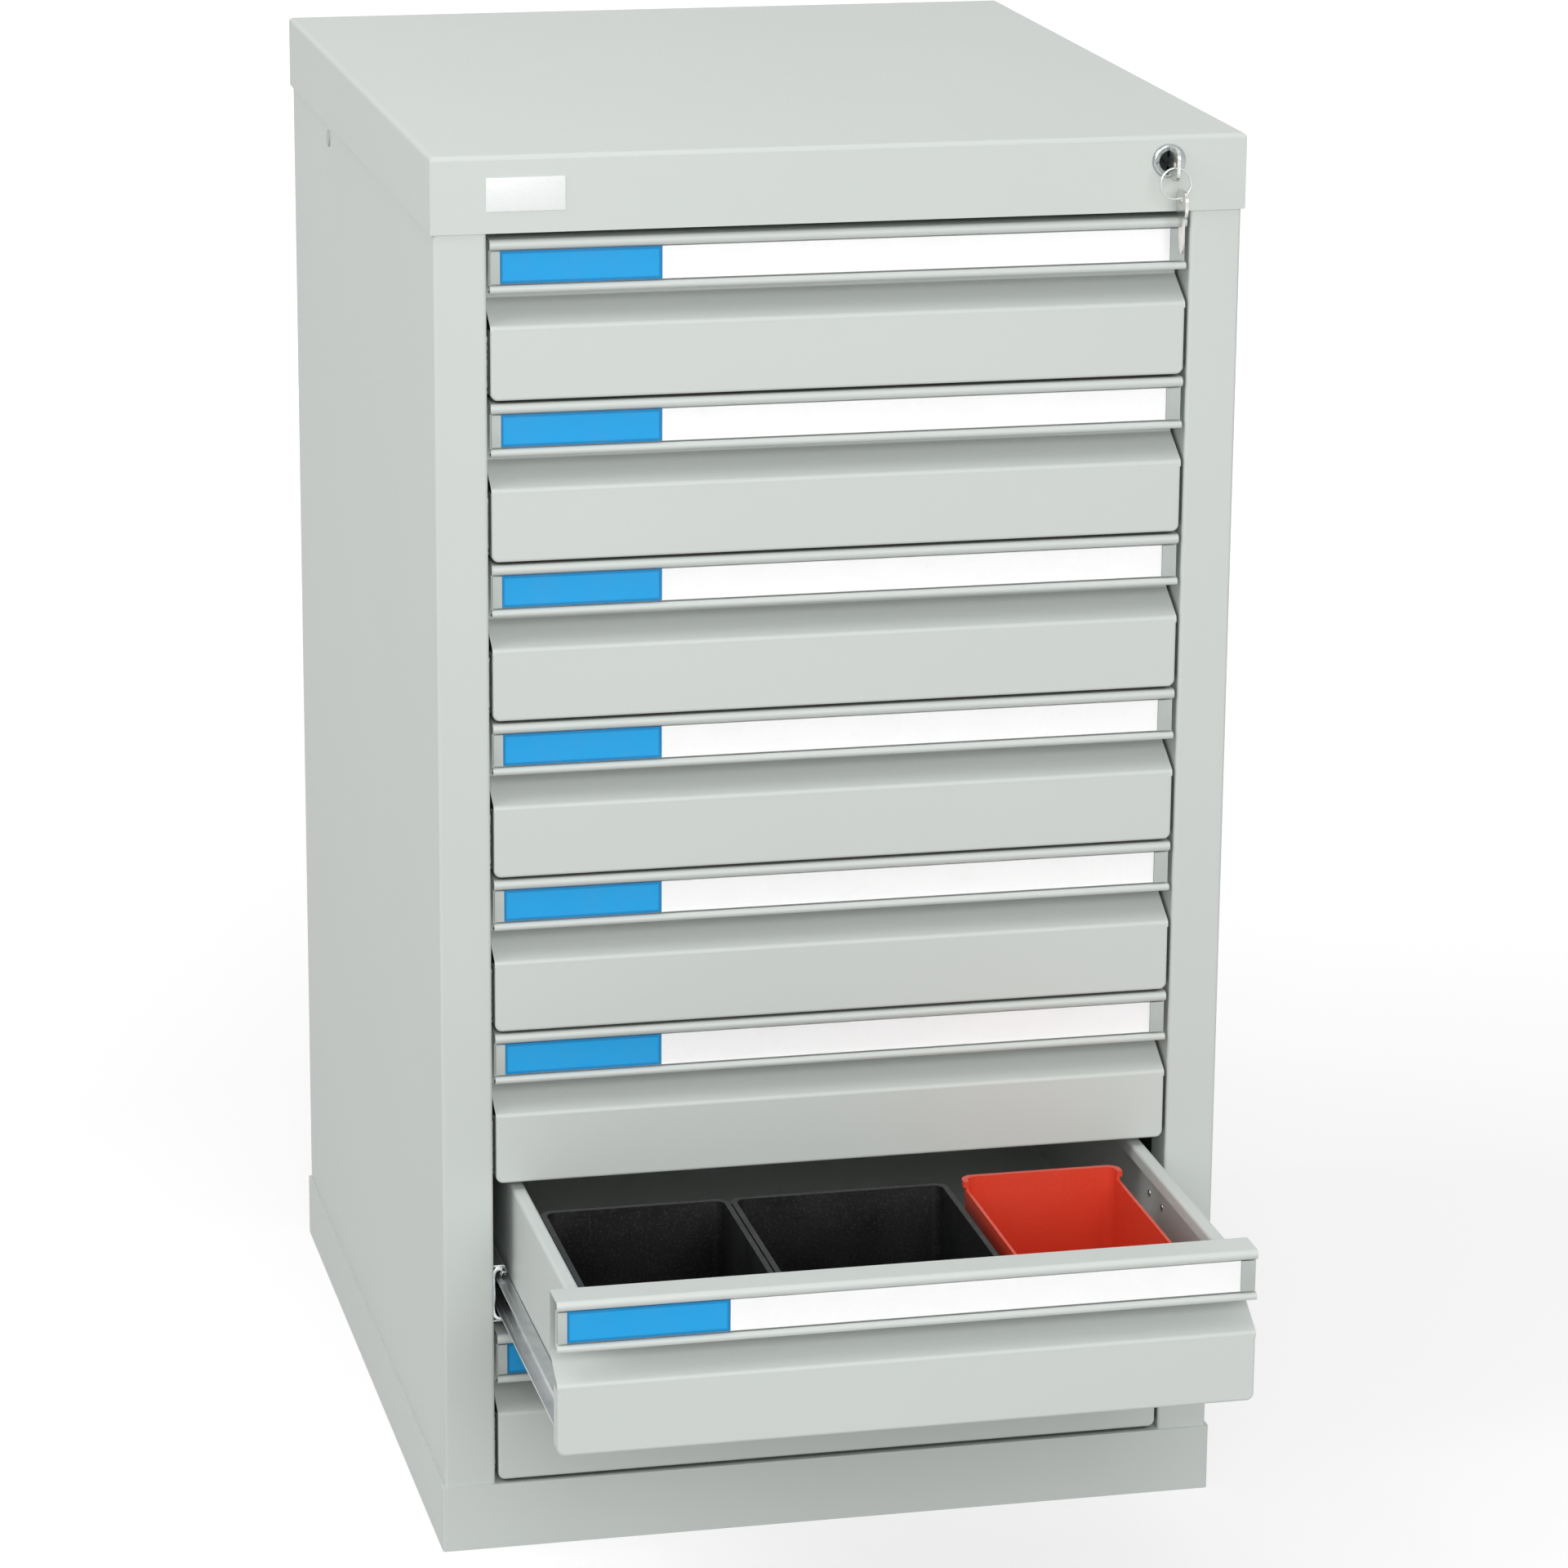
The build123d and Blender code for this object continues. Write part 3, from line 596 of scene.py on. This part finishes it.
# %% [markdown]
# ## Helpers for new pieces
# New pieces are shaped with bmesh operators. One helper turns a finished bmesh into an
# object that stays at the origin, so that patterns read its place, and hands it to the body
# that carries it. The other makes a block with rounded edges, which the plate and the covers
# start from, because no real edge is a knife.

# %% Piece helpers
SHARP_ANGLE = math.radians(38)


def finish_piece(name, bm, finish, body):
    bmesh.ops.recalc_face_normals(bm, faces=bm.faces)
    mesh = bpy.data.meshes.new(name)
    bm.to_mesh(mesh)
    bm.free()
    mesh.shade_smooth()
    mesh.set_sharp_from_angle(angle=SHARP_ANGLE)
    mesh.materials.append(finishes[finish])
    made = bpy.data.objects.new(name, mesh)
    bpy.context.scene.collection.objects.link(made)
    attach(made, body)
    return made


def rounded_block(bm, low, high, radius, segments=3):
    """A block between two corners with rounded edges."""
    low, high = Vector(low), Vector(high)
    verts = bmesh.ops.create_cube(bm, size=1.0)["verts"]
    bmesh.ops.scale(bm, vec=high - low, verts=verts)
    bmesh.ops.translate(bm, vec=(low + high) / 2, verts=verts)
    bmesh.ops.bevel(
        bm, geom=bm.edges[:], offset=radius, offset_type="OFFSET", segments=segments,
        profile=0.5, affect="EDGES", material=-1,
    )


# %% [markdown]
# ## Bare plate on the cap
# A thin pale plate, about 48 by 20 mm, is stuck to the left of the cap's rim. It could be a
# patch of colour in the paint, but a plate has an edge that catches the light. It stays bare.

# %% Bare plate
PLATE_LEFT, PLATE_RIGHT = -0.2197, -0.1716
PLATE_LOW, PLATE_HIGH = 0.8612, 0.8817
PLATE_THICKNESS = 0.0006
PLATE_EDGE = 0.00025

finishes["plate"] = plastic(
    "bare_plate", (234, 236, 236), (226, 228, 228), 1500.0, 0.34, 0.46, 0.00001,
)
rim_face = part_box("top_cap")[0].y
bm = bmesh.new()
plate_low = (PLATE_LEFT, rim_face - PLATE_THICKNESS, PLATE_LOW)
plate_high = (PLATE_RIGHT, rim_face, PLATE_HIGH)
rounded_block(bm, plate_low, plate_high, PLATE_EDGE)
finish_piece("cap_plate", bm, "plate", "cabinet")
print("plate", round(PLATE_RIGHT - PLATE_LEFT, 4), "m wide")

# %% [markdown]
# ## Plastic of the label covers
# A strip of clear plastic is pressed into each label window and keeps the paper clean. Over
# the print it is nearly invisible: a faint veil with a few smudges. Its two ends are made
# rough and opaque in a grey tint, which is painted shade: it stands for the shaded sheet seen
# through the open ends of the window. Two pieces could show that, but one strip with one
# material does both: the distance across says whether a point is over the print.

# %% Cover plastic group
RUB_SCALE = 60.0
RUB_RANGE = (0.4, 0.7)
CLEAR_ROUGHNESS = (0.08, 0.3)
FROST_ROUGHNESS = 0.4
STREAK_SHADES = (0.9, 1.1)
COVER_BUMP = (0.00002, 0.1)

cover_skin, given = new_group("cover_skin", [
    ("Tint", COLOUR, (0.9, 0.9, 0.9, 1.0)),
    ("Clean", NUMBER, 0.004),
    ("Smudged", NUMBER, 0.015),
], SURFACE + [("Alpha", NUMBER)])
place = object_place(cover_skin)
axes = add_node(cover_skin, "ShaderNodeSeparateXYZ", {0: place}).outputs
over_print = inside_band(cover_skin, axes["X"], first_low.x, first_high.x)
# Painted shade: beyond the print the strip turns opaque and grey, standing for the shaded sheet
# behind the window's ends.
painted_shade_ends = work_out(cover_skin, "LESS_THAN", over_print, 0.0)
rubbed = cloudy(cover_skin, place, RUB_SCALE, 4.0)
veil = spread(cover_skin, rubbed, RUB_RANGE, (given["Clean"], given["Smudged"]))
hidden = work_out(cover_skin, "MAXIMUM", veil, painted_shade_ends)
dull = spread(cover_skin, rubbed, new_range=CLEAR_ROUGHNESS)
matt = work_out(cover_skin, "MULTIPLY_ADD", painted_shade_ends, FROST_ROUGHNESS, dull)
streaks = spread(cover_skin, rubbed, new_range=STREAK_SHADES)
streaked = mix(cover_skin, 1.0, given["Tint"], streaks, "MULTIPLY")
add_node(cover_skin, "NodeGroupOutput", {
    "Colour": streaked, "Roughness": matt, "Height": rubbed, "Alpha": hidden,
})
# This tint is the faint veil over the print and the painted shade of the opaque ends.
veil_and_end_shade = {"Tint": colour(184, 190, 186)}
finishes["label_cover"] = new_finish("label_cover", cover_skin, veil_and_end_shade, {}, COVER_BUMP)
print("cover skin has", len(cover_skin.nodes), "nodes")

# %% [markdown]
# ## Label covers
# Each cover is a block half a millimetre thick that fills the width of its window. A small
# gap stays between it and the paper, because two surfaces at one place would flicker.

# %% Press the covers in
COVER_LEFT, COVER_RIGHT = -0.2166, 0.2166
COVER_THICKNESS = 0.0005
COVER_GAP = 0.0004
COVER_EDGE = 0.0002

for number in DRAWERS:
    low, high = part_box(f"drawer_{number}_label")
    back = low.y - COVER_GAP
    bm = bmesh.new()
    cover_low = (COVER_LEFT, back - COVER_THICKNESS, low.z)
    cover_high = (COVER_RIGHT, back, high.z)
    rounded_block(bm, cover_low, cover_high, COVER_EDGE, segments=2)
    finish_piece(f"label_cover_{number}", bm, "label_cover", f"drawer_{number}")
print("covers", len(DRAWERS))

# %% [markdown]
# ## Slide ends
# At the front each cabinet rail ends in a thick bright clip: a steel strip rolled into a
# narrow C that holds the balls in. Its waist has a kink, and both its ends curl inwards. The
# clip could be cut out of a block, but a strip is bent in reality, so it is bent here. It
# starts as one vertex, pushed along the fold line step by step. The line is rounded by
# splitting its edges and smoothing them, then pulled along the rail, given a thickness and
# bevelled. It stays outside the band in which the drawer's own rail passes.

# %% Bend a slide clip
CLIP_FOLDS = [
    (-0.2100, 0.0122), (-0.2082, 0.0142), (-0.2092, 0.0172), (-0.2125, 0.0186),
    (-0.2168, 0.0178), (-0.2188, 0.0140), (-0.2190, 0.0060), (-0.2186, 0.0010),
    (-0.2186, -0.0030), (-0.2192, -0.0065), (-0.2191, -0.0105), (-0.2186, -0.0140),
    (-0.2165, -0.0172), (-0.2125, -0.0186), (-0.2092, -0.0172), (-0.2082, -0.0142),
    (-0.2100, -0.0122),
]
CLIP_THICKNESS = 0.0026
CLIP_START, CLIP_LENGTH = -0.2833, 0.0032
CLIP_EDGE = 0.0005
CLIP_CORNER = math.radians(60)
SMOOTH_PASSES = 3


def slide_clip(bm, side, centre):
    """Shaped on the left, flipped for the right side (side is -1 or 1), lifted to its slide."""
    x, z = CLIP_FOLDS[0]
    tip = bmesh.ops.create_vert(bm, co=(x, CLIP_START, z))["vert"][0]
    for x, z in CLIP_FOLDS[1:]:
        tip = bmesh.ops.extrude_vert_indiv(bm, verts=[tip])["verts"][0]
        tip.co = (x, CLIP_START, z)
    bmesh.ops.subdivide_edges(bm, edges=bm.edges[:], cuts=2)
    for _ in range(SMOOTH_PASSES):
        bends = [vert for vert in bm.verts if len(vert.link_edges) == 2]
        bmesh.ops.smooth_vert(bm, verts=bends, factor=0.5, use_axis_x=True, use_axis_z=True)
    pulled = bmesh.ops.extrude_edge_only(bm, edges=bm.edges[:])["geom"]
    far = [item for item in pulled if isinstance(item, bmesh.types.BMVert)]
    bmesh.ops.translate(bm, vec=(0, CLIP_LENGTH, 0), verts=far)
    bmesh.ops.solidify(bm, geom=bm.faces[:], thickness=CLIP_THICKNESS)
    sharp = [edge for edge in bm.edges if edge.calc_face_angle(0.0) > CLIP_CORNER]
    bmesh.ops.bevel(
        bm, geom=sharp, offset=CLIP_EDGE, segments=3, profile=0.5, affect="EDGES", material=-1,
    )
    bmesh.ops.scale(bm, vec=(-side, 1, 1), verts=bm.verts)
    bmesh.ops.translate(bm, vec=(0, 0, centre), verts=bm.verts)


print("fold line has", len(CLIP_FOLDS), "points")

# %% [markdown]
# Every drawer has a clip on the left and one on the right. The height of each follows from
# the bottom of its drawer, which steps down by one pitch from drawer to drawer.

# %% Fit the slide clips
LOWEST_BOTTOM = 0.0455
SLIDE_ABOVE_BOTTOM = 0.0215
SIDES = {"left": -1, "right": 1}


def drawer_bottom(number):
    return LOWEST_BOTTOM + (DRAWER_COUNT - number) * DRAWER_PITCH


finishes["clip_steel"] = bare_metal(
    "clip_steel", (236, 238, 238), (214, 217, 218), 500.0, 500.0, 0.25, 0.4, 0.00002,
)
for number in DRAWERS:
    for word, side in SIDES.items():
        bm = bmesh.new()
        slide_clip(bm, side, drawer_bottom(number) + SLIDE_ABOVE_BOTTOM)
        made = finish_piece(f"slide_clip_{number}_{word}", bm, "clip_steel", "cabinet")
print("clips", len(SIDES) * len(DRAWERS))
print("last clip is", [round(v, 4) for v in made.dimensions], "m")

# %% [markdown]
# ## Rivets on the tray walls
# The drawer rails are fixed through the tray walls near the front. On the inside each fixing
# shows as a low bright dome, two to a side. A dome is half a sphere, flattened: the sphere is
# cut in two with a bisect, and the open half sinks a little into the wall.

# %% Tray rivets
RIVET_RADIUS = 0.0026
RIVET_HEIGHT = 0.0011
RIVET_SINK = 0.0001
RIVET_ABOVE_BOTTOM = 0.0670
RIVETS_BEHIND_FRONT = (0.1640, 0.1920)
TRAY_WALL_INNER = 0.2056


def wall_rivet(bm, side, y, z):
    ball = bmesh.ops.create_uvsphere(bm, u_segments=20, v_segments=12, radius=1.0)["verts"]
    faces = list({face for vert in ball for face in vert.link_faces})
    edges = list({edge for vert in ball for edge in vert.link_edges})
    cut = bmesh.ops.bisect_plane(
        bm, geom=ball + edges + faces, plane_co=(0, 0, 0), plane_no=(side, 0, 0), clear_outer=True,
    )
    dome = [item for item in cut["geom"] if isinstance(item, bmesh.types.BMVert)]
    bmesh.ops.scale(bm, vec=(RIVET_HEIGHT, RIVET_RADIUS, RIVET_RADIUS), verts=dome)
    bmesh.ops.translate(bm, vec=(side * (TRAY_WALL_INNER + RIVET_SINK), y, z), verts=dome)


for number in DRAWERS:
    front_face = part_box(f"drawer_{number}_front")[0].y
    bm = bmesh.new()
    for side in SIDES.values():
        for behind in RIVETS_BEHIND_FRONT:
            wall_rivet(bm, side, front_face + behind, drawer_bottom(number) + RIVET_ABOVE_BOTTOM)
    finish_piece(f"wall_rivets_{number}", bm, "clip_steel", f"drawer_{number}")
print("rivets", len(DRAWERS) * len(SIDES) * len(RIVETS_BEHIND_FRONT))

# %% [markdown]
# ## Key ring
# The two keys came on a split ring, a wire wound twice round. A torus would have no ends, so
# a small circle is spun about the ring's axis through two full turns instead, and creeps
# sideways by a little more than one wire with each turn. Its two open ends are then closed.

# %% Key ring
KEY_HOLE = Vector((0.2037, -0.3135, 0.8793))
RING_RADIUS, WIRE_RADIUS = 0.0095, 0.0005
RING_DROP = 0.0114
RING_TURNS, RING_STEPS = 2, 96
RING_CREEP = 2.05 * WIRE_RADIUS * RING_TURNS

finishes["ring_wire"] = bare_metal(
    "ring_wire", (204, 208, 205), (186, 190, 187), 400.0, 400.0, 0.38, 0.52, 0.00001,
)
ring_centre = KEY_HOLE - Vector((0, 0, RING_DROP))
bm = bmesh.new()
bmesh.ops.create_circle(bm, segments=12, radius=WIRE_RADIUS)
bmesh.ops.translate(bm, vec=(RING_RADIUS, 0, 0), verts=bm.verts)
bmesh.ops.spin(
    bm, geom=bm.verts[:] + bm.edges[:], cent=(0, 0, 0), axis=(0, 1, 0),
    dvec=(0, RING_CREEP / RING_STEPS, 0), angle=2 * math.pi * RING_TURNS, steps=RING_STEPS,
)
open_ends = [edge for edge in bm.edges if edge.is_boundary]
bmesh.ops.holes_fill(bm, edges=open_ends)
bmesh.ops.translate(bm, vec=ring_centre - Vector((0, RING_CREEP / 2, 0)), verts=bm.verts)
finish_piece("key_ring", bm, "ring_wire", "cabinet")
print("ring", 2 * RING_RADIUS, "m across, wire", 2 * WIRE_RADIUS, "m")

# %% [markdown]
# ## Spare key
# The second key is the twin of the one in the lock, so it starts as a copy of that mesh, with
# its loose triangles joined first. It is turned about its own hole until the blade hangs down
# and moved onto the lowest part of the ring.

# %% Spare key
SPARE_HOLE = Vector((0.2082, -0.3135, 0.8576))
HANGING_TURN = Matrix.Rotation(math.radians(-90), 3, "X")
JOIN_DISTANCE = 1e-6

bm = bmesh.new()
bm.from_mesh(frame["nodes"]["lock_key"].data)
bmesh.ops.remove_doubles(bm, verts=bm.verts, dist=JOIN_DISTANCE)
bmesh.ops.rotate(bm, cent=KEY_HOLE, matrix=HANGING_TURN, verts=bm.verts)
bmesh.ops.translate(bm, vec=SPARE_HOLE - KEY_HOLE, verts=bm.verts)
spare = finish_piece("spare_key", bm, "key_steel", "cabinet")
print("spare key lowest", round(min(vert.co.z for vert in spare.data.vertices), 4))
